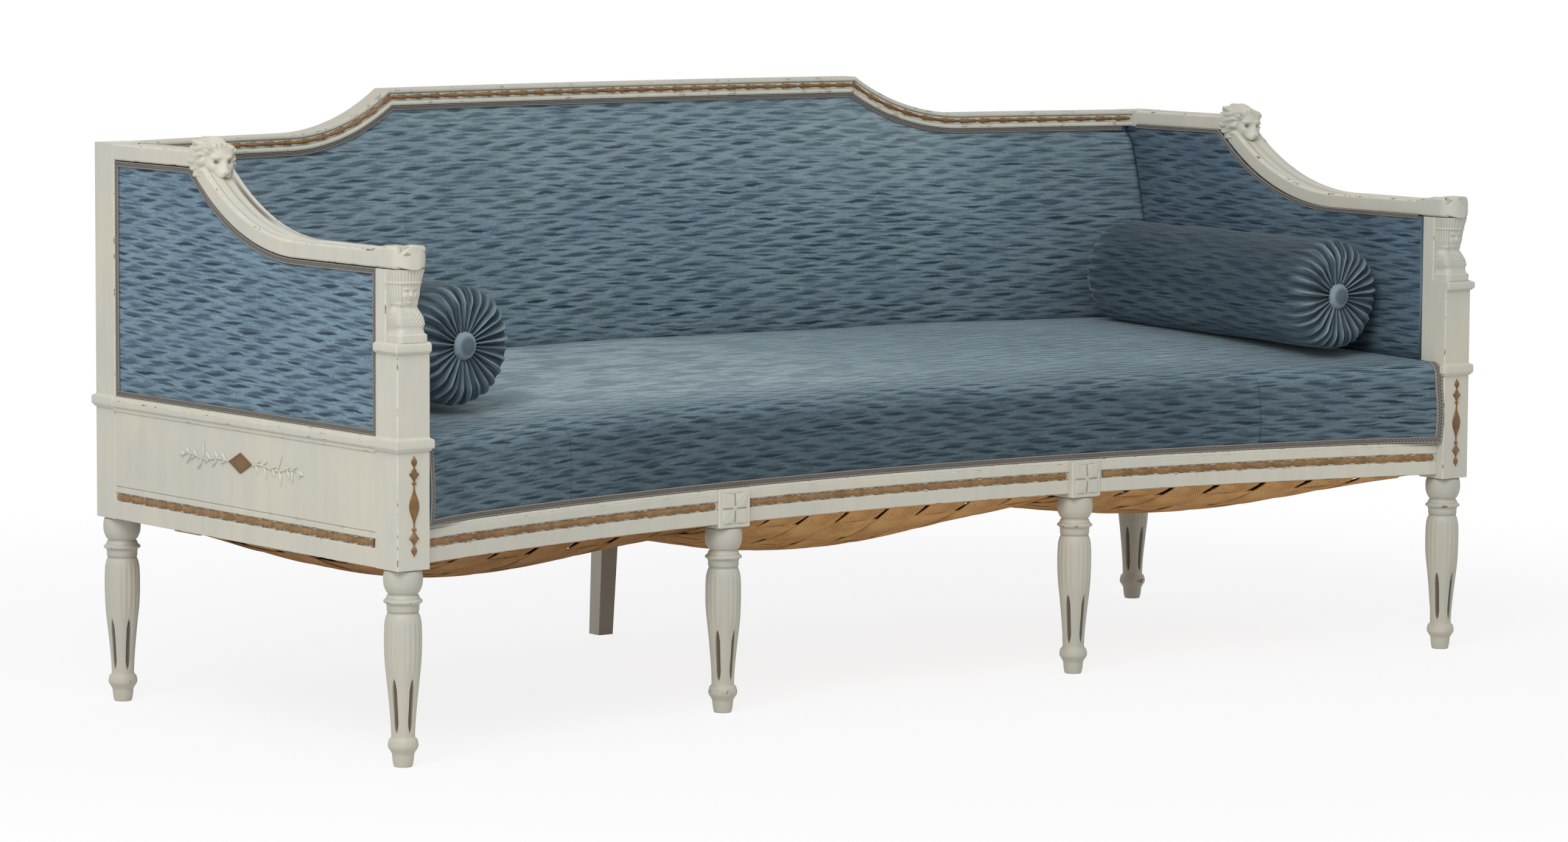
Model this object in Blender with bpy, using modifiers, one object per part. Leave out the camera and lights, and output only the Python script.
"""Gustavian sofa: a painted, bowed frame on turned legs, stuffed seat, back and arms, and two loose bolsters.

Metres, +Z up, X along the sofa, +Y to its back. Everything is drawn from the line between the two front
corner legs, and one empty moves it so that the middle of the footprint is at the origin.
"""

import math

import bmesh
import bpy
import numpy as np
from mathutils import Matrix, Vector

# Plan of the frame
LEG_SPAN = 1.900
LEG_DEPTH = 0.710
FRONT_BOW = 0.145
BACK_BOW = 0.140
MID_LEG_X = 0.324
POST_WIDTH = 0.052
DIE_WIDTH = 0.055

# Heights, each measured upwards from the one before it
LEG_HEIGHT = 0.263
FRONT_RAIL_LIFT = 0.006
FRONT_RAIL_HEIGHT = 0.049
SIDE_RAIL_HEIGHT = 0.174
ARM_OPENING = 0.2215
ARM_THICKNESS = 0.024
ARM_RISE = 0.109
CREST_RISE = 0.060

# Timber sections and mouldings
FRONT_RAIL_THICKNESS = 0.042
SIDE_RAIL_THICKNESS = 0.035
BACK_RAIL_THICKNESS = 0.038
CROSS_RAIL_WIDTH = 0.040
CROSS_RAIL_HEIGHT = 0.042
CREST_THICKNESS = 0.040
CREST_DEPTH = 0.056
CREST_FACE = 0.025
CREST_REBATE = 0.009
BAND_HEIGHT = 0.018
UPPER_BAND_HEIGHT = 0.014
BAND_PROUD = 0.005
EASE = 0.002
BUST_HEIGHT = 0.0965
PILASTER_DEPTH = 0.024
GILT_HEIGHT = 0.011
GILT_LIFT = 0.0265
GILT_GROOVE = 0.0025
GILT_RELIEF = 0.0032

# Curves of the arm and the crest
ARM_NOSE = 0.004
ARM_EDGE = 0.003
SWEEP_START = 0.220
SWEEP_LENGTH = 0.264
CREST_HALF = 0.440
CREST_SWEEP = 0.190

# Turned legs, radii and the heights of their collars
LEG_TENON_RADIUS = 0.0125
LEG_TENON_LENGTH = 0.015
BULB_RADIUS = 0.0254
BULB_HEIGHT = 0.033
WAIST_RADIUS = 0.0192
COLLAR_RADIUS = 0.0251
COLLAR_HEIGHT = 0.012
NECK_RADIUS = 0.0202
NECK_HEIGHT = 0.020
BODY_RADIUS = 0.0241
ANKLE_RADIUS = 0.0159
ANKLE_HEIGHT = 0.055
ANKLE_RING_RADIUS = 0.0199
ANKLE_RING_HEIGHT = 0.028
FOOT_HEIGHT = 0.0195
FOOT_RADIUS = 0.0142
TOE_RADIUS = 0.0123
LEG_SIDES = 14

# The plain leg and stile at the middle of the back
BACK_LEG_WIDTH = 0.034
BACK_LEG_TOE = 0.027
BACK_LEG_RAKE = 0.017

# Joints
CLEARANCE = 0.0003
TENON_LENGTH = 0.018
TENON_ROOT = 0.005
TENON_SHOULDER = 0.010
TENON_THICKNESS = 0.014
SHORT_TENON = 0.012
ARM_TENON_WIDTH = 0.020

# Upholstery
SOFT_GAP = 0.0007
COVER = 0.0012
CANVAS = 0.0015
PANEL = 0.003
PANEL_INSET = 0.004
BRAID_WIDTH = 0.009
BRAID_THICKNESS = 0.002
SEAT_SETBACK = 0.006
SEAT_BULGE = 0.004
SEAT_TUCK = 0.006
SEAT_CROWN = 0.036
SEAT_SIDE_ROUND = 0.060
SEAT_EDGE_ROUND = 0.014
BACK_PAD_EDGE = 0.004
BACK_PAD_BASE = 0.074
BACK_PAD_CROWN = 0.008
ARM_PAD_EDGE = 0.002
ARM_PAD_CROWN = 0.013
ARM_PAD_DEPTH = 0.021

# Webbing and springs under the seat
WEB_WIDTH = 0.070
WEB_PITCH = 0.087
WEB_THICKNESS = 0.0025
WEB_SAG = 0.083
WEB_SIDE_SAG = 0.065
WEB_SLACK = 0.024
WEB_SLACK_REACH = 0.100
WEB_FULLNESS = (2.3, 2.6)
WEB_EDGE = 0.012
LENGTHWISE_STRAPS = 4
SPRING_RADIUS = 0.045
SPRING_WAIST = 0.030
SPRING_WIRE = 0.0022
SPRING_TURNS = 3

# Loose bolsters
BOLSTER_DIAMETER = 0.164
BOLSTER_SETBACK = 0.098
BOLSTER_BACK_GAP = 0.051
BOLSTER_TILT = math.radians(1.0)
LEFT_PUSH = 0.036
LEFT_ROOM = 0.044
LEFT_TURN = math.radians(6.0)
BOLSTER_EDGE_ROUND = 0.022
BOLSTER_END_HOLLOW = 0.007
PLEATS = 16
PLEAT_DEPTH = 0.0022
BUTTON_RADIUS = 0.019
BUTTON_HEIGHT = 0.010
TIE_RADIUS = 0.0025

# Carved and applied ornament
LION_WIDTH = 0.060
LION_LENGTH = 0.088
LION_HEIGHT = 0.056
ORNAMENT_RELIEF = 0.002
LOZENGE_WIDTH = 0.058
LOZENGE_HEIGHT = 0.028
SPRAY_REACH = 0.156
SPRAY_HEIGHT = 0.022
ARABESQUE_HEIGHT = 0.122
ARABESQUE_WIDTH = 0.016

# Planes that follow from the sizes above
HALF_SPAN = LEG_SPAN / 2
INNER_X = HALF_SPAN - POST_WIDTH / 2
OUTER_X = HALF_SPAN + POST_WIDTH / 2
POST_BACK = POST_WIDTH / 2
BACK_POST_FRONT = LEG_DEPTH - POST_WIDTH / 2
FRONT_BOTTOM = LEG_HEIGHT + FRONT_RAIL_LIFT
FRONT_TOP = FRONT_BOTTOM + FRONT_RAIL_HEIGHT
SIDE_TOP = LEG_HEIGHT + SIDE_RAIL_HEIGHT
BAND_BOTTOM = SIDE_TOP - BAND_HEIGHT
ARM_UNDER = SIDE_TOP + ARM_OPENING
ARM_TOP = ARM_UNDER + ARM_THICKNESS
BUST_FOOT = ARM_UNDER - BUST_HEIGHT
BACK_TOP = ARM_TOP + ARM_RISE
CREST_TOP = BACK_TOP + CREST_RISE
GILT_BOTTOM = LEG_HEIGHT + GILT_LIFT
GILT_TOP = GILT_BOTTOM + GILT_HEIGHT
RAIL_FRONT = -FRONT_RAIL_THICKNESS / 2
RAIL_BACK = FRONT_RAIL_THICKNESS / 2
CREST_FRONT = -CREST_THICKNESS * 0.6
CREST_BACK = CREST_THICKNESS * 0.4
REBATE = CREST_FRONT + CREST_REBATE
BACK_RAIL_BACK = CREST_BACK
BACK_RAIL_FRONT = CREST_BACK - BACK_RAIL_THICKNESS
CANVAS_TOP = FRONT_TOP + CLEARANCE + CANVAS
ARM_FACE_X = INNER_X - ARM_PAD_EDGE - ARM_PAD_CROWN - COVER - SOFT_GAP
BACK_PAD_END = ARM_FACE_X - SOFT_GAP
BACK_PAD_FRONT = REBATE - SOFT_GAP - BACK_PAD_BASE
BACK_COVER_FRONT = BACK_PAD_FRONT - SOFT_GAP - COVER
SEAT_REAR = BACK_COVER_FRONT - 3 * SOFT_GAP
SEAT_FRONT = RAIL_FRONT + SEAT_SETBACK
SEAT_RIDGE = SIDE_TOP - SEAT_TUCK
BOLSTER_RADIUS = BOLSTER_DIAMETER / 2
BOLSTER_X = ARM_FACE_X - SOFT_GAP - BOLSTER_RADIUS
FRONT_LIMIT = -POST_WIDTH / 2 - max(BAND_PROUD, ARM_NOSE)
BACK_LIMIT = LEG_DEPTH + BACK_BOW + max(BACK_LEG_RAKE + BACK_LEG_TOE / 2, CREST_BACK + SOFT_GAP + COVER)

SIDES = (("left", -1), ("right", 1))

for old in list(bpy.data.objects):
    bpy.data.objects.remove(old, do_unlink=True)

parts = bpy.data.collections.new("gustavian_sofa")
cutters = bpy.data.collections.new("cutters")
for collection in (parts, cutters):
    bpy.context.scene.collection.children.link(collection)

origin = bpy.data.objects.new("sofa_origin", None)
origin.location.y = -(FRONT_LIMIT + BACK_LIMIT) / 2
parts.objects.link(origin)


def finish(name, colour, roughness, metallic=0.0):
    """A plain material with the colour of one finish."""
    material = bpy.data.materials.new(name)
    material.use_nodes = True
    shader = material.node_tree.nodes["Principled BSDF"]
    shader.inputs["Base Color"].default_value = (*colour, 1.0)
    shader.inputs["Roughness"].default_value = roughness
    shader.inputs["Metallic"].default_value = metallic
    return material


PAINT = finish("worn_grey_white_paint", (0.66, 0.64, 0.57), 0.55)
GILT = finish("matt_gilding", (0.42, 0.27, 0.11), 0.5, 0.3)
BARE_WOOD = finish("bare_wood", (0.33, 0.25, 0.17), 0.75)
VELVET = finish("blue_velvet", (0.10, 0.19, 0.28), 0.85)
BRAID = finish("grey_braid", (0.36, 0.35, 0.34), 0.9)
JUTE = finish("jute_webbing", (0.50, 0.28, 0.12), 0.9)
CALICO = finish("unbleached_canvas", (0.55, 0.47, 0.34), 0.9)
HAIR = finish("horsehair_stuffing", (0.24, 0.19, 0.14), 0.95)
STEEL = finish("copper_washed_spring_steel", (0.45, 0.33, 0.26), 0.4, 0.9)


def place(name, data, material, collection=parts):
    """Put a mesh or a curve into the sofa under a name."""
    obj = bpy.data.objects.new(name, data)
    obj.parent = origin
    if material is not None:
        data.materials.append(material)
    collection.objects.link(obj)
    return obj


def solid(name, shape, material, collection=parts, smooth=False):
    """One object from a closed shape, with its faces turned outwards."""
    bmesh.ops.recalc_face_normals(shape, faces=shape.faces)
    mesh = bpy.data.meshes.new(name)
    shape.to_mesh(mesh)
    shape.free()
    if smooth:
        mesh.shade_smooth()
        mesh.set_sharp_from_angle(angle=math.radians(40))
    return place(name, mesh, material, collection)


def loft(rings, closed=False):
    """A skin through rings of matching points, with flat ends or, when closed, joined end to end."""
    shape = bmesh.new()
    corners = [[shape.verts.new(point) for point in ring] for ring in rings]
    pairs = list(zip(corners, corners[1:]))
    if closed:
        pairs.append((corners[-1], corners[0]))
    else:
        shape.faces.new(corners[0][::-1])
        shape.faces.new(corners[-1])
    for near, far in pairs:
        for i in range(len(near)):
            j = (i + 1) % len(near)
            shape.faces.new((near[i], near[j], far[j], far[i]))
    return shape


def pad(front, back):
    """A skin round two grids of matching points, the face and the back of a stuffed pad."""
    rows, columns = front.shape[:2]
    shape = bmesh.new()
    layers = [[[shape.verts.new(point) for point in row] for row in grid] for grid in (front, back)]
    for grid in layers:
        for r in range(rows - 1):
            for c in range(columns - 1):
                shape.faces.new((grid[r][c], grid[r][c + 1], grid[r + 1][c + 1], grid[r + 1][c]))
    rim = [(0, c) for c in range(columns - 1)] + [(r, columns - 1) for r in range(rows - 1)]
    rim += [(rows - 1, c) for c in range(columns - 1, 0, -1)] + [(r, 0) for r in range(rows - 1, 0, -1)]
    near, far = layers
    for (r, c), (s, d) in zip(rim, rim[1:] + rim[:1]):
        shape.faces.new((near[r][c], near[s][d], far[s][d], far[r][c]))
    return shape


def sheet(name, grid, thickness, material, facing, filled=None):
    """Cloth over a grid of points, thickened to the side away from facing. Cells that aren't filled stay open."""
    shape = bmesh.new()
    corners = [[shape.verts.new(point) for point in row] for row in grid]
    for r in range(len(corners) - 1):
        for c in range(len(corners[0]) - 1):
            if filled is None or filled[r, c]:
                shape.faces.new((corners[r][c], corners[r][c + 1], corners[r + 1][c + 1], corners[r + 1][c]))
    bmesh.ops.delete(shape, geom=[v for v in shape.verts if not v.link_faces], context="VERTS")
    shape.faces.ensure_lookup_table()
    shape.normal_update()
    if shape.faces[len(shape.faces) // 2].normal.dot(Vector(facing)) < 0:
        bmesh.ops.reverse_faces(shape, faces=shape.faces)
    mesh = bpy.data.meshes.new(name)
    shape.to_mesh(mesh)
    shape.free()
    mesh.shade_smooth()
    mesh.set_sharp_from_angle(angle=math.radians(40))
    obj = place(name, mesh, material)
    cloth = obj.modifiers.new("thickness", "SOLIDIFY")
    cloth.thickness = thickness
    cloth.offset = -1
    cloth.use_even_offset = True
    return obj


def plate(name, outline, thickness, material):
    """A flat cut-out from an outline in its own XY plane, standing on z = 0."""
    curve = bpy.data.curves.new(name, "CURVE")
    curve.dimensions = "2D"
    curve.fill_mode = "BOTH"
    curve.extrude = thickness / 2
    spline = curve.splines.new("POLY")
    spline.points.add(len(outline) - 1)
    for point, (x, y) in zip(spline.points, outline):
        point.co = (x, y, 0, 1)
    spline.use_cyclic_u = True
    return place(name, curve, material)


def box(low, high):
    """A cuboid between two corners."""
    low, high = Vector(low), Vector(high)
    shape = bmesh.new()
    place_and_size = Matrix.Translation((low + high) / 2) @ Matrix.Diagonal((*(high - low), 1))
    bmesh.ops.create_cube(shape, size=1, matrix=place_and_size)
    return shape


def egg(centre, radii, around=14, along=8):
    """An egg shape with its poles at the front and the back."""
    shape = bmesh.new()
    turn = Matrix.Translation(centre) @ Matrix.Diagonal((*radii, 1)) @ Matrix.Rotation(math.pi / 2, 4, "X")
    bmesh.ops.create_uvsphere(shape, u_segments=around, v_segments=along, radius=1, matrix=turn)
    return shape


def column(sections):
    """A square post: rectangles (height, x from, x to, y from, y to) stacked upwards."""
    return loft([[(a, c, z), (b, c, z), (b, d, z), (a, d, z)] for z, a, b, c, d in sections])


def carve(target, name, shape, operation="DIFFERENCE"):
    """Cut a shape out of a piece, or with UNION grow it on."""
    guide = solid(f"{target.name}_{name}", shape, None, cutters)
    guide.hide_render = True
    guide.display_type = "WIRE"
    modifier = target.modifiers.new(name, "BOOLEAN")
    modifier.object = guide
    modifier.operation = operation
    modifier.solver = "EXACT"


def bow(x, sagitta):
    """How far an arc through both corner legs lies behind their line at x."""
    radius = (HALF_SPAN**2 + sagitta**2) / (2 * sagitta)
    return np.sqrt(radius**2 - np.square(x)) - (radius - sagitta)


def front_line(x):
    """Middle of the front rail."""
    return bow(x, FRONT_BOW)


def back_line(x):
    """Middle of the back frame."""
    return LEG_DEPTH + bow(x, BACK_BOW)


def bowed(line, stations, profile):
    """A profile of (depth, height) points carried along a bowed line."""
    return loft([[(x, line(x) + depth, z) for depth, z in profile] for x in stations])


def rectangle(near, far, low, high):
    return [(near, low), (far, low), (far, high), (near, high)]


def on_stations(line, stations):
    """The same line as the straight stretches between its stations, for pieces that lie in a groove."""
    return lambda x: np.interp(x, stations, line(stations))


def tenon_along_x(rail, socket, line, face, outwards, length, near, far, low, high):
    """A tenon on a rail's end, and the mortise for it in the post beyond the face at x."""
    tip = face + outwards * length
    root = face - outwards * TENON_ROOT
    label = f"tenon_to_{socket.name}"
    carve(rail, label, bowed(line, (root, face, tip), rectangle(near, far, low, high)), "UNION")
    grown = rectangle(near - CLEARANCE, far + CLEARANCE, low - CLEARANCE, high + CLEARANCE)
    stations = (root, face, tip + outwards * CLEARANCE)
    carve(socket, f"mortise_of_{rail.name}", bowed(line, stations, grown))


def tenon_along_y(rail, socket, face, outwards, length, x_low, x_high, low, high):
    """The same for a straight rail that runs from front to back."""
    ends = sorted((face - outwards * TENON_ROOT, face + outwards * length))
    carve(rail, f"tenon_to_{socket.name}", box((x_low, ends[0], low), (x_high, ends[1], high)), "UNION")
    ends = sorted((face - outwards * TENON_ROOT, face + outwards * (length + CLEARANCE)))
    grown = (x_low - CLEARANCE, ends[0], low - CLEARANCE), (x_high + CLEARANCE, ends[1], high + CLEARANCE)
    carve(socket, f"mortise_of_{rail.name}", box(*grown))


def mirrored(side, near, far):
    """A pair of x values given for the right half, for the half that side names, in rising order."""
    return sorted((side * near, side * far))


def leg_profile():
    """Radius and height down the outside of a turned leg, from its tenon to its toe."""
    shoulder = LEG_HEIGHT - CLEARANCE
    tenon_top = shoulder + LEG_TENON_LENGTH
    bulb_foot = LEG_HEIGHT - BULB_HEIGHT
    collar_foot = bulb_foot - COLLAR_HEIGHT
    neck_foot = collar_foot - NECK_HEIGHT
    profile = [(0, tenon_top), (LEG_TENON_RADIUS, tenon_top), (LEG_TENON_RADIUS, shoulder)]
    for drop, swell in ((0.0, 0.75), (0.18, 1.0), (0.6, 0.95), (0.85, 0.5), (1.0, 0.0)):
        radius = WAIST_RADIUS + (BULB_RADIUS - WAIST_RADIUS) * swell
        profile.append((radius, shoulder + (bulb_foot - shoulder) * drop))
    profile += [(COLLAR_RADIUS, collar_foot + COLLAR_HEIGHT / 2), (COLLAR_RADIUS, collar_foot)]
    profile += [(NECK_RADIUS, collar_foot - NECK_HEIGHT / 3), (NECK_RADIUS, neck_foot)]
    for drop, fullness in ((0.08, 0.8), (0.22, 1.0), (0.38, 1.0), (0.55, 0.73), (0.72, 0.28), (1.0, 0.0)):
        radius = ANKLE_RADIUS + (BODY_RADIUS - ANKLE_RADIUS) * fullness
        profile.append((radius, neck_foot + (ANKLE_HEIGHT - neck_foot) * drop))
    ring_top = ANKLE_RING_HEIGHT + (ANKLE_RING_HEIGHT - FOOT_HEIGHT)
    profile += [(ANKLE_RADIUS, ring_top), (ANKLE_RING_RADIUS, ANKLE_RING_HEIGHT), (FOOT_RADIUS, FOOT_HEIGHT)]
    return profile + [(TOE_RADIUS, 0), (0, 0)]


def turned(name, profile, material, sides):
    """A profile of (radius, height) points turned about the upright axis."""
    mesh = bpy.data.meshes.new(name)
    edges = [(i, i + 1) for i in range(len(profile) - 1)]
    mesh.from_pydata([(radius, 0, height) for radius, height in profile], edges, [])
    obj = place(name, mesh, material)
    screw = obj.modifiers.new("turning", "SCREW")
    screw.steps = sides
    screw.render_steps = sides
    screw.use_merge_vertices = True
    screw.merge_threshold = 0.00005
    return obj


def make_leg(name, x, y, block):
    """A turned leg with its round tenon in the block above it."""
    leg = turned(name, leg_profile(), PAINT, LEG_SIDES)
    leg.location = (x, y, 0)
    bore = bmesh.new()
    radius = LEG_TENON_RADIUS + 2 * CLEARANCE
    middle = LEG_HEIGHT + (LEG_TENON_LENGTH - TENON_ROOT) / 2
    bmesh.ops.create_cone(bore, cap_ends=True, segments=LEG_SIDES, radius1=radius, radius2=radius,
                          depth=LEG_TENON_LENGTH + TENON_ROOT, matrix=Matrix.Translation((x, y, middle)))
    carve(block, "leg_socket", bore)


def bust_rings(x):
    """Plain form of the carved bust: plinth, shoulders, neck, head and headdress, as ovals going up."""
    half = POST_WIDTH / 2
    outline = (
        (0.00, 0.90, 0.96), (0.14, 0.90, 0.96), (0.17, 0.84, 0.84), (0.36, 0.88, 0.80), (0.48, 0.72, 0.58),
        (0.60, 0.66, 0.66), (0.74, 0.70, 0.80), (0.88, 0.78, 0.88), (1.00, 0.88, 0.92),
    )
    turn = np.linspace(0, 2 * math.pi, 12, endpoint=False)
    foot, head = BUST_FOOT - EASE, ARM_UNDER - 2 * CLEARANCE
    rings = []
    for share, width, depth in outline:
        z = foot + share * (head - foot)
        rings.append([(x + half * width * math.cos(a), half * depth * math.sin(a), z) for a in turn])
    return rings


def make_front_post(name, side):
    """Block, seat band, shaft, upper band, and the pilaster behind the bust, with a tenon for the arm."""
    x0, x1 = mirrored(side, INNER_X, OUTER_X)
    half = POST_WIDTH / 2
    proud = mirrored(side, INNER_X, OUTER_X + BAND_PROUD)
    tenon_x = mirrored(side, HALF_SPAN - ARM_TENON_WIDTH / 2, HALF_SPAN + ARM_TENON_WIDTH / 2)
    tenon_y = half - PILASTER_DEPTH / 2 - TENON_THICKNESS / 2, half - PILASTER_DEPTH / 2 + TENON_THICKNESS / 2
    plain = (x0, x1, -half, half)
    band = (*proud, -half - BAND_PROUD, half)
    pilaster = (x0, x1, half - PILASTER_DEPTH, half)
    top = ARM_UNDER - CLEARANCE
    sections = [
        (LEG_HEIGHT, *plain), (BAND_BOTTOM, *plain), (BAND_BOTTOM + EASE, *band), (SIDE_TOP - EASE, *band),
        (SIDE_TOP, *plain), (BUST_FOOT - UPPER_BAND_HEIGHT, *plain),
        (BUST_FOOT - UPPER_BAND_HEIGHT + EASE, *band), (BUST_FOOT - EASE, *band), (BUST_FOOT, *plain),
        (BUST_FOOT + EASE / 2, *pilaster), (top, *pilaster),
        (top, *tenon_x, *tenon_y), (top + SHORT_TENON, *tenon_x, *tenon_y),
    ]
    post = solid(name, column(sections), PAINT)
    carve(post, "bust", loft(bust_rings(side * HALF_SPAN)), "UNION")
    return post, (tenon_x, tenon_y)


def make_back_post(name, side):
    """Plain square post with the seat band on its outer and back faces."""
    half = POST_WIDTH / 2
    x0, x1 = mirrored(side, INNER_X, OUTER_X)
    proud = mirrored(side, INNER_X, OUTER_X + BAND_PROUD)
    plain = (x0, x1, LEG_DEPTH - half, LEG_DEPTH + half)
    band = (*proud, LEG_DEPTH - half, LEG_DEPTH + half + BAND_PROUD)
    sections = [
        (LEG_HEIGHT, *plain), (BAND_BOTTOM, *plain), (BAND_BOTTOM + EASE, *band),
        (SIDE_TOP - EASE, *band), (SIDE_TOP, *plain), (BACK_TOP, *plain),
    ]
    return solid(name, column(sections), PAINT)


def make_die(name, side):
    """Square block between two lengths of front rail, over a middle leg."""
    x0, x1 = mirrored(side, MID_LEG_X - DIE_WIDTH / 2, MID_LEG_X + DIE_WIDTH / 2)
    y = float(front_line(MID_LEG_X))
    face = y + RAIL_FRONT - BAND_PROUD
    inset = (x0 + EASE, x1 - EASE, face + EASE, y + RAIL_BACK)
    plain = (x0, x1, face, y + RAIL_BACK)
    sections = [
        (LEG_HEIGHT, *inset), (LEG_HEIGHT + EASE, *plain), (FRONT_TOP - EASE, *plain), (FRONT_TOP, *inset),
    ]
    return solid(name, column(sections), PAINT)


def front_rail_profile():
    """Front rail in section: eased lower edge, groove for the gilt band, and a step under the seat."""
    groove = RAIL_FRONT + GILT_GROOVE
    return [
        (RAIL_FRONT + EASE, FRONT_BOTTOM), (RAIL_FRONT, FRONT_BOTTOM + EASE),
        (RAIL_FRONT, GILT_BOTTOM - EASE / 2), (groove, GILT_BOTTOM), (groove, GILT_TOP),
        (RAIL_FRONT, GILT_TOP + EASE / 2), (RAIL_FRONT, FRONT_TOP - 2 * EASE), (RAIL_FRONT + EASE, FRONT_TOP),
        (RAIL_BACK, FRONT_TOP), (RAIL_BACK, FRONT_BOTTOM),
    ]


def make_front_rails(posts, dies):
    """Three bowed lengths, tenoned into the corner posts and the dies, each with its gilt band."""
    die_near = MID_LEG_X - DIE_WIDTH / 2
    die_far = MID_LEG_X + DIE_WIDTH / 2
    spans = {
        "left": (-INNER_X, -die_far, posts["left"], dies["left"]),
        "centre": (-die_near, die_near, dies["left"], dies["right"]),
        "right": (die_far, INNER_X, dies["right"], posts["right"]),
    }
    tenon_low = FRONT_BOTTOM + TENON_SHOULDER + EASE
    tenon_high = FRONT_TOP - TENON_SHOULDER
    near, far = -TENON_THICKNESS / 2, TENON_THICKNESS / 2
    back = RAIL_FRONT + GILT_GROOVE - CLEARANCE
    band = rectangle(back - GILT_RELIEF, back, GILT_BOTTOM + CLEARANCE, GILT_TOP - CLEARANCE)
    for span, (start, end, before, after) in spans.items():
        stations = np.linspace(start + CLEARANCE, end - CLEARANCE, 9)
        rail = solid(f"front_rail_{span}", bowed(front_line, stations, front_rail_profile()), PAINT)
        tenon_along_x(rail, before, front_line, start, -1, TENON_LENGTH, near, far, tenon_low, tenon_high)
        tenon_along_x(rail, after, front_line, end, 1, TENON_LENGTH, near, far, tenon_low, tenon_high)
        inside = (stations[0] + 2 * EASE, *stations[1:-1], stations[-1] - 2 * EASE)
        solid(f"gilt_band_front_{span}", bowed(on_stations(front_line, stations), inside, band), GILT)


def make_side_rail(label, side, front_post, back_post):
    """Deep board with a bead along its top and a groove for the gilt band, tenoned into both posts."""
    groove = OUTER_X - GILT_GROOVE
    inner = OUTER_X - SIDE_RAIL_THICKNESS
    profile = [
        (OUTER_X, LEG_HEIGHT), (OUTER_X, GILT_BOTTOM - EASE / 2), (groove, GILT_BOTTOM), (groove, GILT_TOP),
        (OUTER_X, GILT_TOP + EASE / 2), (OUTER_X, BAND_BOTTOM), (OUTER_X + BAND_PROUD, BAND_BOTTOM + EASE),
        (OUTER_X + BAND_PROUD, SIDE_TOP - EASE), (OUTER_X, SIDE_TOP), (inner, SIDE_TOP), (inner, LEG_HEIGHT),
    ]
    ends = POST_BACK + CLEARANCE, BACK_POST_FRONT - CLEARANCE
    rail = solid(f"side_rail_{label}", loft([[(side * x, y, z) for x, z in profile] for y in ends]), PAINT)
    middle = inner + SIDE_RAIL_THICKNESS / 2
    x_low, x_high = mirrored(side, middle - TENON_THICKNESS / 2, middle + TENON_THICKNESS / 2)
    low = FRONT_TOP + CLEARANCE
    high = BAND_BOTTOM - TENON_SHOULDER
    tenon_along_y(rail, front_post, POST_BACK, -1, TENON_LENGTH, x_low, x_high, low, high)
    tenon_along_y(rail, back_post, BACK_POST_FRONT, 1, TENON_LENGTH, x_low, x_high, low, high)
    back = groove + CLEARANCE
    gilt_x = mirrored(side, back, back + GILT_RELIEF)
    strip = box((gilt_x[0], ends[0] + 2 * EASE, GILT_BOTTOM + CLEARANCE),
                (gilt_x[1], ends[1] - 2 * EASE, GILT_TOP - CLEARANCE))
    solid(f"gilt_band_side_{label}", strip, GILT)


def make_back_leg():
    """Raked square leg carried up as the middle stile of the back, with a tenon for the crest."""
    half = BACK_LEG_WIDTH / 2
    toe = BACK_LEG_TOE / 2
    middle = float(back_line(0))
    toe_y = middle + BACK_LEG_RAKE
    front = middle + REBATE + CLEARANCE
    back = middle + BACK_RAIL_BACK - CLEARANCE
    top = CREST_TOP - CREST_DEPTH - CLEARANCE
    tenon = TENON_THICKNESS / 2
    sections = [
        (0, -toe, toe, toe_y - toe, toe_y + toe), (LEG_HEIGHT, -half, half, front, back),
        (top, -half, half, front, back), (top, -tenon, tenon, middle - tenon, middle + tenon),
        (top + SHORT_TENON, -tenon, tenon, middle - tenon, middle + tenon),
    ]
    leg = solid("leg_back_centre", column(sections), PAINT)
    wide = tenon + CLEARANCE
    mortise = box((-wide, middle - wide, top - TENON_ROOT), (wide, middle + wide, top + SHORT_TENON + CLEARANCE))
    return leg, mortise


def make_back_rails(posts, leg):
    """Two bowed lengths of deep back rail between the back posts and the middle leg."""
    profile = rectangle(BACK_RAIL_FRONT, BACK_RAIL_BACK, LEG_HEIGHT, SIDE_TOP)
    low, high = FRONT_TOP, SIDE_TOP - 2 * TENON_SHOULDER
    near, far = -TENON_THICKNESS / 2, TENON_THICKNESS / 2
    rails = {}
    for label, side in SIDES:
        start, end = mirrored(side, BACK_LEG_WIDTH / 2, INNER_X)
        stations = np.linspace(start + CLEARANCE, end - CLEARANCE, 13)
        rail = solid(f"back_rail_{label}", bowed(back_line, stations, profile), PAINT)
        post_face, leg_face = side * INNER_X, side * BACK_LEG_WIDTH / 2
        tenon_along_x(rail, posts[label], back_line, post_face, side, TENON_LENGTH, near, far, low, high)
        tenon_along_x(rail, leg, back_line, leg_face, -side, SHORT_TENON, near, far, low, high)
        rails[label] = rail
    return rails


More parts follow.
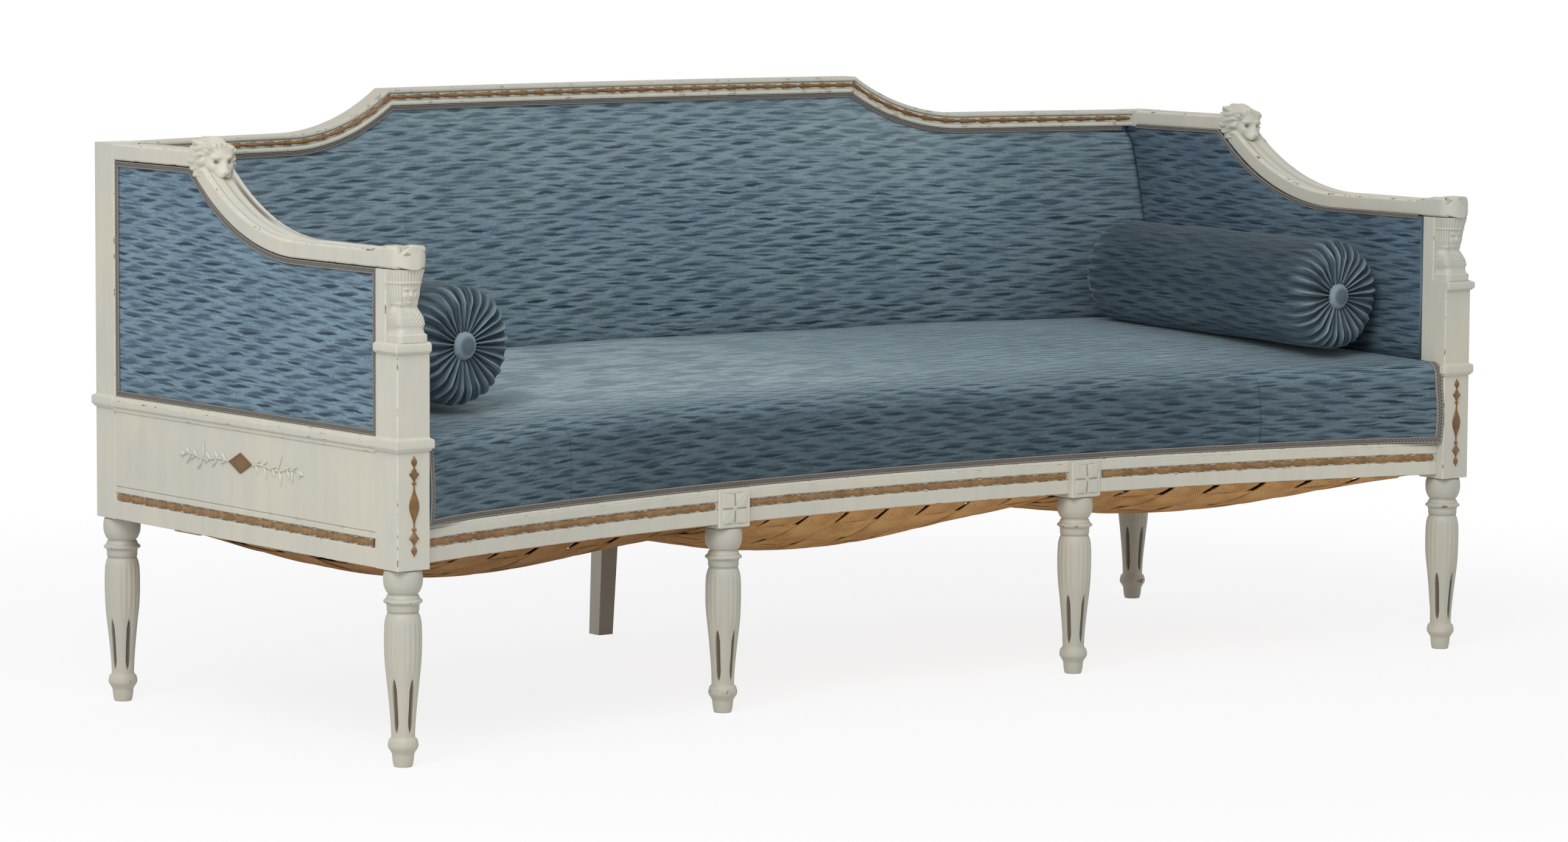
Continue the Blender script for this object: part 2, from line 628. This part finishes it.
def make_cross_rail(label, side, die, back_rail):
    """Bar from a die to the back rail, which parts the webbing into bays."""
    start = float(front_line(MID_LEG_X)) + RAIL_BACK
    end = float(back_line(MID_LEG_X)) + BACK_RAIL_FRONT
    x0, x1 = side * MID_LEG_X - CROSS_RAIL_WIDTH / 2, side * MID_LEG_X + CROSS_RAIL_WIDTH / 2
    top = LEG_HEIGHT + CROSS_RAIL_HEIGHT
    back_edge = float(back_line(MID_LEG_X + CROSS_RAIL_WIDTH / 2)) + BACK_RAIL_FRONT
    bar = box((x0, start + CLEARANCE, LEG_HEIGHT), (x1, back_edge - SOFT_GAP, top))
    rail = solid(f"cross_rail_{label}", bar, BARE_WOOD)
    x_low = side * MID_LEG_X - TENON_THICKNESS / 2
    low, high = LEG_HEIGHT + LEG_TENON_LENGTH + 4 * CLEARANCE, top - TENON_SHOULDER / 2
    tenon_along_y(rail, die, start, -1, SHORT_TENON / 2, x_low, x_low + TENON_THICKNESS, low, high)
    tenon_along_y(rail, back_rail, end, 1, SHORT_TENON, x_low, x_low + TENON_THICKNESS, low, high)


def sweep_arc(radius, angles):
    """Points of an arc that leaves the level arm at the start of the sweep and turns upwards."""
    return SWEEP_START + radius * np.sin(angles), radius * (1 - np.cos(angles))


def arm_lower_edge(grow=0.0):
    """Stations (y, z) along the underside of the arm rail, from the front post to the back post."""
    radius = (SWEEP_LENGTH**2 + ARM_RISE**2) / (2 * ARM_RISE)
    angles = np.linspace(0, math.asin(SWEEP_LENGTH / radius), 8)
    y, rise = sweep_arc(radius, angles)
    y = np.concatenate([[POST_BACK], y, [BACK_POST_FRONT]])
    return y, np.concatenate([[0], rise, [ARM_RISE]]) + ARM_UNDER - grow


def arm_upper_edge(grow=0.0):
    """Stations along the top, the same arc moved in by the rail's thickness."""
    radius = (SWEEP_LENGTH**2 + ARM_RISE**2) / (2 * ARM_RISE) - ARM_THICKNESS
    angles = np.linspace(0, math.acos(1 - ARM_RISE / radius), 8)
    y, rise = sweep_arc(radius, angles)
    return y, rise + ARM_TOP + grow


def arm_outline(grow=0.0):
    """Closed outline of the arm rail, with a rounded nose over the bust."""
    lower_y, lower_z = arm_lower_edge(grow)
    upper_y, upper_z = arm_upper_edge(grow)
    nose = -POST_WIDTH / 2 - ARM_NOSE
    end = BACK_POST_FRONT - CLEARANCE
    rounding = ARM_THICKNESS / 3
    points = [(nose, ARM_UNDER - grow), *zip(lower_y[1:-1], lower_z[1:-1])]
    points += [(end, lower_z[-1]), (end, BACK_TOP + grow)]
    points += list(zip(upper_y[::-1], upper_z[::-1]))
    points += [(nose + rounding, ARM_TOP + grow), (nose + rounding * 0.3, ARM_TOP - rounding * 0.3)]
    return points + [(nose, ARM_TOP - rounding)]


def make_arm_rail(label, side, tenon, back_post):
    """Arm rail sawn to its sweep, with eased edges, a mortise for the front post and a tenon at the back."""
    rings = [[(side * x, y, z) for y, z in arm_outline()] for x in (INNER_X, OUTER_X)]
    rail = solid(f"arm_rail_{label}", loft(rings), PAINT)
    edge = rail.modifiers.new("eased_edges", "BEVEL")
    edge.width = ARM_EDGE
    edge.segments = 2
    edge.limit_method = "ANGLE"
    edge.angle_limit = math.radians(50)
    (x0, x1), (y0, y1) = tenon
    mortise = box((x0 - CLEARANCE, y0 - CLEARANCE, ARM_UNDER - TENON_ROOT),
                  (x1 + CLEARANCE, y1 + CLEARANCE, ARM_UNDER + SHORT_TENON))
    carve(rail, "post_mortise", mortise)
    half = ARM_TENON_WIDTH / 2
    x_low, x_high = mirrored(side, HALF_SPAN - half, HALF_SPAN + half)
    low, high = BACK_TOP - ARM_THICKNESS * 0.75, BACK_TOP - ARM_THICKNESS * 0.25
    tenon_along_y(rail, back_post, BACK_POST_FRONT, 1, TENON_LENGTH, x_low, x_high, low, high)


def make_lion_head(label, side):
    """Mane and muzzle of the carved head, saddled over the top of the arm's sweep."""
    corner = float(arm_upper_edge()[0][-1])
    centre = (side * HALF_SPAN, corner - LION_LENGTH * 0.36, BACK_TOP - LION_HEIGHT * 0.20)
    radii = (LION_WIDTH / 2, LION_LENGTH / 2, LION_HEIGHT / 2)
    head = solid(f"lion_head_{label}", egg(centre, radii), PAINT, smooth=True)
    muzzle_centre = (centre[0], centre[1] - radii[1] * 0.86, centre[2] - radii[2] * 0.12)
    muzzle_radii = (radii[0] * 0.52, radii[1] * 0.36, radii[2] * 0.46)
    carve(head, "muzzle", egg(muzzle_centre, muzzle_radii, 10, 8), "UNION")
    saddle_x = INNER_X - CLEARANCE, OUTER_X + CLEARANCE
    rings = [[(side * x, y, z) for y, z in arm_outline(CLEARANCE)] for x in saddle_x]
    carve(head, "saddle", loft(rings))


def crest_path(end):
    """Stations of the crest's top line from right to left: level, a concave curve up, the level middle."""
    radius = (CREST_SWEEP**2 + CREST_RISE**2) / (2 * CREST_RISE)
    angles = np.linspace(0, math.asin(CREST_SWEEP / radius), 7)
    foot = CREST_HALF + CREST_SWEEP
    level = np.linspace(end, foot, 4)[:-1]
    middle = np.linspace(CREST_HALF, 0, 5)[1:]
    x = np.concatenate([level, foot - radius * np.sin(angles), middle])
    z = np.concatenate([0 * level, radius * (1 - np.cos(angles)), 0 * middle + CREST_RISE]) + BACK_TOP
    return np.concatenate([x, -x[-2::-1]]), np.concatenate([z, z[-2::-1]])


def mitres(x, z):
    """Upward directions at the stations that keep a moulding's depth through bends and corners."""
    step = np.diff(np.stack([x, z], 1), axis=0)
    step /= np.linalg.norm(step, axis=1)[:, None]
    normal = np.stack([step[:, 1], -step[:, 0]], 1)
    before = np.vstack([normal[:1], normal])
    after = np.vstack([normal, normal[-1:]])
    return (before + after) / (1 + np.sum(before * after, axis=1))[:, None]


def along_crest(end, profile):
    """A profile of (depth, height from the top line) carried along the bowed crest."""
    x, z = crest_path(end)
    rings = []
    for px, pz, (mx, mz) in zip(x, z, mitres(x, z)):
        rings.append([(px + h * mx, float(back_line(px + h * mx)) + d, pz + h * mz) for d, h in profile])
    return loft(rings)


def make_crest(posts, stile_mortise):
    """Crest rail with its moulded face, the groove for the gilt band and the rebate for the stuffing."""
    groove = CREST_FRONT + GILT_GROOVE
    gilt_top = -CREST_FACE * 0.28
    gilt_bottom = gilt_top - GILT_HEIGHT
    profile = [
        (CREST_FRONT + 2 * EASE, 0), (CREST_FRONT, -2 * EASE), (CREST_FRONT, gilt_top + EASE / 2),
        (groove, gilt_top), (groove, gilt_bottom), (CREST_FRONT, gilt_bottom - EASE / 2),
        (CREST_FRONT, -CREST_FACE), (REBATE, -CREST_FACE), (REBATE, -CREST_DEPTH),
        (CREST_BACK, -CREST_DEPTH), (CREST_BACK, -2 * EASE), (CREST_BACK - 2 * EASE, 0),
    ]
    crest = solid("crest_rail", along_crest(INNER_X - CLEARANCE, profile), PAINT)
    carve(crest, "stile_mortise", stile_mortise)
    low, high = BACK_TOP - CREST_DEPTH + TENON_SHOULDER, BACK_TOP - ARM_THICKNESS - CLEARANCE
    near, far = -TENON_THICKNESS / 2, TENON_THICKNESS / 2
    for label, side in SIDES:
        face = side * INNER_X
        tenon_along_x(crest, posts[label], back_line, face, side, TENON_LENGTH, near, far, low, high)
    back = groove - CLEARANCE
    strip = [(back - GILT_RELIEF, gilt_top - CLEARANCE), (back, gilt_top - CLEARANCE),
             (back, gilt_bottom + CLEARANCE), (back - GILT_RELIEF, gilt_bottom + CLEARANCE)]
    solid("gilt_band_crest", along_crest(INNER_X - 2 * EASE, strip), GILT)


def seat_height(x, y):
    """Top of the covered seat: it rises from the front ridge, and rolls down beside the arms."""
    front, rear = front_line(x) + SEAT_FRONT, back_line(x) + SEAT_REAR
    share = np.clip((y - front) / (rear - front), 0, 1)
    crown = SEAT_CROWN * (1 - (1 - share) ** 2)
    roll = np.clip((np.abs(x) - BACK_PAD_END + SEAT_SIDE_ROUND) / SEAT_SIDE_ROUND, 0, 1)
    return SEAT_RIDGE + crown * (1 - roll**2)


def seat_stations():
    """Where the seat is drawn along its length: evenly, and closer where it rolls down to the arms."""
    flat = BACK_PAD_END - SEAT_SIDE_ROUND
    half = np.concatenate([np.linspace(0, flat, 7)[:-1], np.linspace(flat, BACK_PAD_END, 5),
                           [INNER_X - 2 * SOFT_GAP]])
    return np.concatenate([-half[:0:-1], half])


def seat_surface(inset):
    """Grid over the front border, the rounded edge and the top of the seat, moved inwards by inset."""
    x = seat_stations()
    front, rear = front_line(x) + SEAT_FRONT, back_line(x) + SEAT_REAR
    foot = CANVAS_TOP + CLEARANCE + CANVAS
    lift = SEAT_RIDGE - foot
    edge = SEAT_EDGE_ROUND
    rows = [(front, 0 * x + foot), (front - SEAT_BULGE, 0 * x + foot + 0.35 * lift),
            (front - SEAT_BULGE, 0 * x + foot + 0.7 * lift), (front - SEAT_BULGE / 2, 0 * x + SEAT_RIDGE - edge),
            (front + edge * 0.3, seat_height(x, front + edge * 0.3) - edge * 0.25)]
    for share in (0.045, 0.2, 0.42, 0.7, 1.0):
        y = front + share * (rear - front)
        rows.append((y, seat_height(x, y)))
    y, z = np.array(rows).transpose(1, 0, 2)
    along = np.stack([np.gradient(y, axis=0), np.gradient(z, axis=0)])
    along /= np.linalg.norm(along, axis=0)
    y, z = y + inset * along[1], z - inset * along[0]
    return np.stack([np.broadcast_to(x, y.shape), y, z], 2)


def drawn_seat(x, y):
    """Height of the seat cover at one x, straight between the points that it is drawn through."""
    rows = seat_surface(0.0)[4:]
    row_y = [np.interp(x, row[:, 0], row[:, 1]) for row in rows]
    row_z = [np.interp(x, row[:, 0], row[:, 2]) for row in rows]
    return np.interp(y, row_y, row_z)


def make_seat():
    """Canvas over the springs, the stuffing on it, the cover over border and top, and the front braid."""
    x = seat_stations()
    edges = np.stack([front_line(x) + SEAT_FRONT + 2 * BRAID_THICKNESS, back_line(x) + BACK_RAIL_FRONT - EASE])
    cloth = np.stack([np.broadcast_to(x, edges.shape), edges, np.full(edges.shape, CANVAS_TOP)], 2)
    sheet("spring_canvas", cloth, CANVAS, CALICO, (0, 0, 1))
    face = seat_surface(COVER + SOFT_GAP)
    ledge = np.stack([x, back_line(x) + SEAT_REAR + SOFT_GAP, np.full_like(x, SIDE_TOP - EASE)], 1)
    tail = np.stack([x, back_line(x) + BACK_RAIL_FRONT - EASE, np.full_like(x, SIDE_TOP - EASE)], 1)
    top = np.concatenate([face, ledge[None], tail[None]])
    floor = top.copy()
    floor[:, :, 1] = np.linspace(top[0, :, 1], top[-1, :, 1], len(top))
    floor[:, :, 2] = CANVAS_TOP + CLEARANCE
    solid("seat_stuffing", pad(top, floor), HAIR)
    sheet("seat_cover", seat_surface(0.0), COVER, VELVET, (0, -0.3, 1))
    far = SEAT_FRONT - SEAT_BULGE / 2
    strip = rectangle(far - BRAID_THICKNESS, far, FRONT_TOP + CLEARANCE, FRONT_TOP + BRAID_WIDTH)
    solid("braid_seat", bowed(front_line, x, strip), BRAID)


def back_surface(lift):
    """Grid over the face of the back stuffing, from the seat to the crest, moved forwards by lift."""
    x, z = crest_path(BACK_PAD_END)
    lean = mitres(x, z)
    drop = CREST_FACE + SOFT_GAP
    x, top = x - drop * lean[:, 0], z - drop * lean[:, 1]
    foot = SIDE_TOP + CLEARANCE
    margin = 1 - BRAID_WIDTH / (BACK_TOP - foot)
    share = np.array([0, 0.16, 0.36, 0.58, 0.8, margin, 1.0])[:, None]
    bulk = np.clip(1 - share / margin, 0, 1)
    thick = BACK_PAD_EDGE + (BACK_PAD_BASE - BACK_PAD_EDGE) * bulk + BACK_PAD_CROWN * 4 * bulk * (1 - bulk)
    x = np.broadcast_to(x, (len(share), len(x)))
    y = back_line(x) + REBATE - SOFT_GAP - thick - lift
    return np.stack([x, y, foot + share * (top - foot)], 2)


def make_back():
    """Stuffing and cover of the inside back, the braid under the crest, and the outside cover."""
    face = back_surface(0.0)
    rear = face.copy()
    rear[:, :, 1] = back_line(rear[:, :, 0]) + REBATE - SOFT_GAP
    solid("back_stuffing", pad(face, rear), HAIR)
    sheet("back_cover", back_surface(SOFT_GAP + COVER), COVER, VELVET, (0, -1, 0))
    near = REBATE - 3 * SOFT_GAP - BACK_PAD_EDGE - COVER
    top, bottom = -CREST_FACE - SOFT_GAP, -CREST_FACE - BRAID_WIDTH
    strip = [(near, top), (near, bottom), (near - BRAID_THICKNESS, bottom), (near - BRAID_THICKNESS, top)]
    solid("braid_back", along_crest(BACK_PAD_END, strip), BRAID)
    x, z = crest_path(INNER_X - EASE)
    heights = np.stack([np.full_like(z, LEG_HEIGHT + EASE), np.full_like(z, SIDE_TOP), z - CREST_FACE])
    x = np.broadcast_to(x, heights.shape)
    cloth = np.stack([x, back_line(x) + CREST_BACK + SOFT_GAP + COVER, heights], 2)
    sheet("outside_back_cover", cloth, COVER, VELVET, (0, 1, 0))


def arm_grid(shares, low, high_gap, inset):
    """Heights of a fabric panel under the arm rail, as rows of shares at stations from post to post."""
    y, top = arm_lower_edge()
    y = np.concatenate([[y[0] + inset], y[1:-1], [y[-1] - inset]])
    z = low + np.array(shares)[:, None] * (top - high_gap - low)
    return np.broadcast_to(y, z.shape), z


def make_arm_upholstery(label, side):
    """Inside stuffing and cover, outside panel and the braid round it."""
    low = SIDE_TOP + CLEARANCE
    shares = (0, 0.1, 0.35, 0.65, 0.9, 1)
    y, z = arm_grid(shares, low, SOFT_GAP, SOFT_GAP)
    rise = np.clip(np.sin(math.pi * np.array(shares)), 0, 1)[:, None] ** 0.7
    run = np.clip(np.sin(math.pi * (y - y[:, :1]) / (y[:, -1:] - y[:, :1])), 0, 1) ** 0.5
    face = INNER_X - ARM_PAD_EDGE - ARM_PAD_CROWN * rise * run
    stuffing = [np.stack([side * x, y, z], 2) for x in (face, 0 * face + INNER_X + ARM_PAD_DEPTH)]
    solid(f"arm_stuffing_{label}", pad(*stuffing), HAIR)
    cloth = np.stack([side * (face - SOFT_GAP - COVER), y, z], 2)
    sheet(f"arm_cover_{label}", cloth, COVER, VELVET, (-side, 0, 0))
    y, z = arm_grid((0, 1), low, SOFT_GAP, SOFT_GAP)
    panel_x = OUTER_X - PANEL_INSET
    sheet(f"outside_arm_{label}", np.stack([np.full(y.shape, side * panel_x), y, z], 2), PANEL, VELVET, (side, 0, 0))
    inner_y, inner_z = arm_grid((0, 1), low + BRAID_WIDTH, SOFT_GAP + BRAID_WIDTH, SOFT_GAP + BRAID_WIDTH)
    loops = []
    for grid_y, grid_z in ((y, z), (inner_y, inner_z)):
        across = [(grid_y[0, 0], grid_z[0, 0]), (grid_y[0, -1], grid_z[0, -1])]
        loops.append(across + list(zip(grid_y[1, ::-1], grid_z[1, ::-1])))
    under, over = side * (panel_x + CLEARANCE), side * (panel_x + CLEARANCE + BRAID_THICKNESS)
    rings = []
    for (oy, oz), (iy, iz) in zip(*loops):
        rings.append([(under, oy, oz), (under, iy, iz), (over, iy, iz), (over, oy, oz)])
    solid(f"braid_arm_{label}", loft(rings, closed=True), BRAID)


def web_level(x, y):
    """Height of the webbing's upper face: a dish in each bay, and some slack under the cross rails."""
    side = OUTER_X - SIDE_RAIL_THICKNESS
    distance = np.abs(x)
    inner_bay = distance / MID_LEG_X
    outer_bay = np.abs(2 * distance - MID_LEG_X - side) / (side - MID_LEG_X)
    across = np.where(distance < MID_LEG_X, inner_bay, outer_bay)
    deep = np.where(distance < MID_LEG_X, WEB_SAG, WEB_SIDE_SAG)
    front, back = front_line(x) + RAIL_BACK, back_line(x) + BACK_RAIL_FRONT
    along = np.abs(2 * y - front - back) / (back - front)
    dish = deep * np.clip(1 - across ** WEB_FULLNESS[0], 0, 1)
    slack = WEB_SLACK * np.exp(-(((distance - MID_LEG_X) / WEB_SLACK_REACH) ** 2))
    return LEG_HEIGHT - CLEARANCE - (dish + slack) * np.clip(1 - along ** WEB_FULLNESS[1], 0, 1)


def bay_limits():
    """The clear stretch of front rail in each of the three bays."""
    near, far = MID_LEG_X - DIE_WIDTH / 2, MID_LEG_X + DIE_WIDTH / 2
    end = INNER_X - 2 * WEB_EDGE
    return ((-end, -far), (-near, near), (far, end))


def make_webbing():
    """Interlaced straps: crosswise ones in each bay from rail to rail, lengthwise ones under all the rails."""
    lines = [-OUTER_X + WEB_EDGE]
    crosswise = [False]
    for start, end in bay_limits():
        count = round((end - start) / WEB_PITCH)
        for middle in start + (end - start) / count * (np.arange(count) + 0.5):
            lines += [middle - WEB_WIDTH / 2, middle + WEB_WIDTH / 2]
            crosswise += [True, False]
    x = np.array(lines + [OUTER_X - WEB_EDGE])
    first = FRONT_BOW + RAIL_BACK + WEB_PITCH
    last = BACK_POST_FRONT - WEB_PITCH
    edges = [middle + way * WEB_WIDTH / 2 for middle in np.linspace(first, last, LENGTHWISE_STRAPS) for way in (-1, 1)]
    front = front_line(x) + RAIL_FRONT + WEB_EDGE
    back = back_line(x) + REBATE - SOFT_GAP
    rows = [front] + [np.full_like(x, edge) for edge in edges] + [back]
    lengthwise = [False] + [True, False] * LENGTHWISE_STRAPS
    y = np.array(rows)
    x = np.broadcast_to(x, y.shape)
    z = web_level(x, y)
    z[0] = FRONT_BOTTOM - CLEARANCE
    filled = np.logical_or.outer(lengthwise, crosswise)
    sheet("seat_webbing", np.stack([x, y, z], 2), WEB_THICKNESS, JUTE, (0, 0, 1), filled)


def make_springs():
    """Waisted coil springs between webbing and canvas, lashed from top to top and sewn from foot to foot.

    The lashing joins them into one line: it goes down one spring, across to the next, and up again.
    """
    top = FRONT_TOP - SPRING_WIRE * 1.2
    turn = np.linspace(0, 2 * math.pi * SPRING_TURNS, SPRING_TURNS * 6 + 1)
    share = turn / turn[-1]
    radius = SPRING_WAIST + (SPRING_RADIUS - SPRING_WAIST) * np.abs(2 * share - 1)
    run = []
    for start, end in bay_limits():
        quarter = (end - start) / 4
        stops = ((start + quarter, 0.36, 1, False), (start + quarter, 0.66, 1, True),
                 (end - quarter, 0.66, -1, False), (end - quarter, 0.36, -1, True))
        for x, depth, way, upwards in stops:
            y = float(front_line(x) * (1 - depth) + back_line(x) * depth)
            ring_x, ring_y = x + radius * np.cos(turn), y + way * radius * np.sin(turn)
            foot = float(np.max(web_level(ring_x, ring_y))) + SPRING_WIRE + WEB_THICKNESS
            height = foot + (share if upwards else 1 - share) * (top - foot)
            run.append(np.stack([ring_x, ring_y, height, np.ones_like(turn)], 1))
    points = np.concatenate(run)
    curve = bpy.data.curves.new("seat_springs", "CURVE")
    curve.dimensions = "3D"
    curve.bevel_depth = SPRING_WIRE
    curve.bevel_resolution = 0
    curve.use_fill_caps = True
    spline = curve.splines.new("POLY")
    spline.points.add(len(points) - 1)
    spline.points.foreach_set("co", points.ravel())
    place("seat_springs", curve, STEEL)


def bolster_end():
    """Radius, depth from the end plane and depth of pleating, from the bolster's middle out to its side."""
    return [
        (TIE_RADIUS + CLEARANCE, BOLSTER_END_HOLLOW, 0.0), (BUTTON_RADIUS * 0.8, BOLSTER_END_HOLLOW, 0.2),
        (BOLSTER_RADIUS * 0.5, BOLSTER_END_HOLLOW * 0.45, 1.0), (BOLSTER_RADIUS - BOLSTER_EDGE_ROUND, 0.0, 1.0),
        (BOLSTER_RADIUS - BOLSTER_EDGE_ROUND * 0.28, BOLSTER_EDGE_ROUND * 0.3, 0.5),
        (BOLSTER_RADIUS - EASE / 2, BOLSTER_EDGE_ROUND, 0.0),
    ]


def bolster_body(length):
    """A plump roll with pleated ends drawn in to the buttons, and a bore for the tie between them."""
    turn = np.linspace(0, 2 * math.pi, 2 * PLEATS, endpoint=False)
    ripple = np.arange(2 * PLEATS) % 2
    steps = [(-1, *step) for step in bolster_end()] + [(0, BOLSTER_RADIUS, 0.0, 0.0)]
    steps += [(1, *step) for step in bolster_end()[::-1]]
    rings = []
    for way, radius, depth, fold in steps:
        y = way * (length / 2 - depth - PLEAT_DEPTH * fold * ripple)
        rings.append(np.stack([radius * np.cos(turn), y, radius * np.sin(turn)], 1))
    return loft(rings, closed=True)


def button_pair(length):
    """Two covered buttons on the ends of the tie that runs through the bolster."""
    turn = np.linspace(0, 2 * math.pi, 14, endpoint=False)
    seat = length / 2 - BOLSTER_END_HOLLOW * 0.9 + SOFT_GAP
    dome = [(BUTTON_HEIGHT, 0.25), (BUTTON_HEIGHT * 0.75, 0.75), (BUTTON_HEIGHT * 0.35, 1.0), (0.0, 0.9)]
    steps = [(-seat - lift, BUTTON_RADIUS * share) for lift, share in dome]
    steps += [(-seat, TIE_RADIUS), (seat, TIE_RADIUS)]
    steps += [(seat + lift, BUTTON_RADIUS * share) for lift, share in dome[::-1]]
    return loft([[(r * math.cos(a), y, r * math.sin(a)) for a in turn] for y, r in steps])


def make_bolster(label, side, push, room, turned):
    """A loose bolster on the seat beside the arm, pushed back, left some room and turned, and its pair of buttons."""
    back_end = float(back_line(BOLSTER_X)) + BACK_COVER_FRONT - BOLSTER_BACK_GAP
    length = back_end - BOLSTER_SETBACK
    middle = side * (BOLSTER_X - room), (back_end + BOLSTER_SETBACK) / 2 + push
    round_turn = np.linspace(math.pi, 2 * math.pi, PLEATS + 1)
    lifts = []
    for across in np.linspace(-BOLSTER_RADIUS, BOLSTER_RADIUS, 41):
        belly = np.interp(across, BOLSTER_RADIUS * np.cos(round_turn), -BOLSTER_RADIUS * np.sin(round_turn))
        for along in np.linspace(-length / 2, length / 2, 41):
            seat = drawn_seat(middle[0] + across * math.cos(turned) - along * math.sin(turned),
                              middle[1] + across * math.sin(turned) + along * math.cos(turned))
            lifts.append(seat - along * math.tan(BOLSTER_TILT) + belly / math.cos(BOLSTER_TILT))
    height = float(np.max(lifts)) + CLEARANCE
    roll = solid(f"bolster_{label}", bolster_body(length), VELVET, smooth=True)
    buttons = solid(f"bolster_buttons_{label}", button_pair(length), VELVET, smooth=True)
    for piece in (roll, buttons):
        piece.location = (*middle, height)
        piece.rotation_euler = (BOLSTER_TILT, 0, turned)


def leaf_edge(reach, height, leaves):
    """Half outline of a leaf spray from its root to its tip: leaves in pairs that shrink along the stem."""
    run = np.linspace(0, 1, 4 * leaves + 1)
    leaf = np.abs(np.sin(math.pi * leaves * run)) ** 1.5
    half = height * (0.12 + 0.38 * leaf * (1 - 0.55 * run))
    half[-1] = height * 0.04
    return run * reach, half


def make_side_ornament(label, side):
    """Applied ornament on the frieze of a side rail: a lozenge between two leaf sprays, cut in one."""
    root = LOZENGE_WIDTH / 2 * (1 - 0.24 * SPRAY_HEIGHT / LOZENGE_HEIGHT)
    run, half = leaf_edge(SPRAY_REACH - root, SPRAY_HEIGHT, 4)
    upper = [(-root - r, h) for r, h in zip(run[::-1], half[::-1])] + [(0, LOZENGE_HEIGHT / 2)]
    upper += [(root + r, h) for r, h in zip(run, half)]
    outline = upper + [(r, -h) for r, h in upper[::-1]]
    ornament = plate(f"side_ornament_{label}", outline, ORNAMENT_RELIEF, GILT)
    middle = (GILT_TOP + BAND_BOTTOM) / 2 + 3 * EASE
    ornament.location = (side * (OUTER_X + CLEARANCE + ORNAMENT_RELIEF / 2), LEG_DEPTH / 2, middle)
    ornament.rotation_euler = (math.pi / 2, 0, side * math.pi / 2)


def make_arabesque(label, side):
    """Gilt upright ornament on a front block: drop, bell, spindle, bell and drop on one stem."""
    run = np.linspace(-1, 1, 25)
    spindle = np.cos(math.pi * np.clip(run / 0.44, -1, 1)) * 0.5 + 0.5
    bell = np.clip(1 - np.abs(np.abs(run) - 0.6) / 0.13, 0, 1)
    drop = np.clip(1 - np.abs(np.abs(run) - 0.9) / 0.09, 0, 1)
    half = ARABESQUE_WIDTH * (0.06 + 0.44 * np.maximum(spindle, np.maximum(0.8 * bell, 0.4 * drop)))
    rise = run * ARABESQUE_HEIGHT / 2
    ornament = plate(f"arabesque_{label}", [*zip(half, rise), *zip(-half[::-1], rise[::-1])], ORNAMENT_RELIEF, GILT)
    front = -POST_WIDTH / 2 - CLEARANCE - ORNAMENT_RELIEF / 2
    ornament.location = (side * HALF_SPAN, front, (LEG_HEIGHT + BAND_BOTTOM) / 2)
    ornament.rotation_euler.x = math.pi / 2


def build():
    front_posts, back_posts, dies, arm_tenons = {}, {}, {}, {}
    for label, side in SIDES:
        front_posts[label], arm_tenons[label] = make_front_post(f"post_front_{label}", side)
        back_posts[label] = make_back_post(f"post_back_{label}", side)
        dies[label] = make_die(f"die_front_{label}", side)
        make_leg(f"leg_front_{label}", side * HALF_SPAN, 0, front_posts[label])
        make_leg(f"leg_back_{label}", side * HALF_SPAN, LEG_DEPTH, back_posts[label])
        make_leg(f"leg_front_mid_{label}", side * MID_LEG_X, float(front_line(MID_LEG_X)), dies[label])
    make_front_rails(front_posts, dies)
    back_leg, stile_mortise = make_back_leg()
    back_rails = make_back_rails(back_posts, back_leg)
    make_crest(back_posts, stile_mortise)
    for label, side in SIDES:
        make_side_rail(label, side, front_posts[label], back_posts[label])
        make_cross_rail(label, side, dies[label], back_rails[label])
        make_arm_rail(label, side, arm_tenons[label], back_posts[label])
        make_lion_head(label, side)
        make_arm_upholstery(label, side)
        make_side_ornament(label, side)
        make_arabesque(label, side)
    make_bolster("left", -1, LEFT_PUSH, LEFT_ROOM, LEFT_TURN)
    make_bolster("right", 1, 0, 0, 0)
    make_seat()
    make_back()
    make_webbing()
    make_springs()


build()
